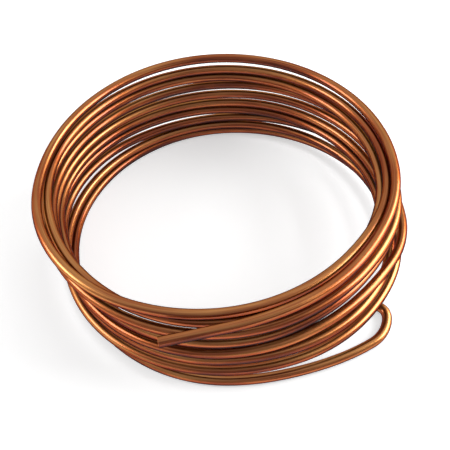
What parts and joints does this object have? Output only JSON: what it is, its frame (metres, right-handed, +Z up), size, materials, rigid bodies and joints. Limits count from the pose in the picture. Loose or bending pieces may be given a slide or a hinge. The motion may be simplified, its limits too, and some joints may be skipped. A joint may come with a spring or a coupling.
{
  "type": "copper tube coil",
  "caption": "Loose coil of small-bore copper tube lying flat, with one open cut end at the top and the other end bent in at the floor; raw stock to uncoil, cut and fit.",
  "frame": {"origin": "on the coil's axis, at floor level", "axes": "+Z up along the coil's axis, -Y towards the cut end at the front, +X right, so the bent-in end lies at front right"},
  "size_m": [0.121, 0.1191, 0.0385],
  "materials": {
    "copper": "drawn copper, browned by air, satin"
  },
  "bodies": {
    "root": {"copper_tube": "copper"}
  },
  "joints": []
}
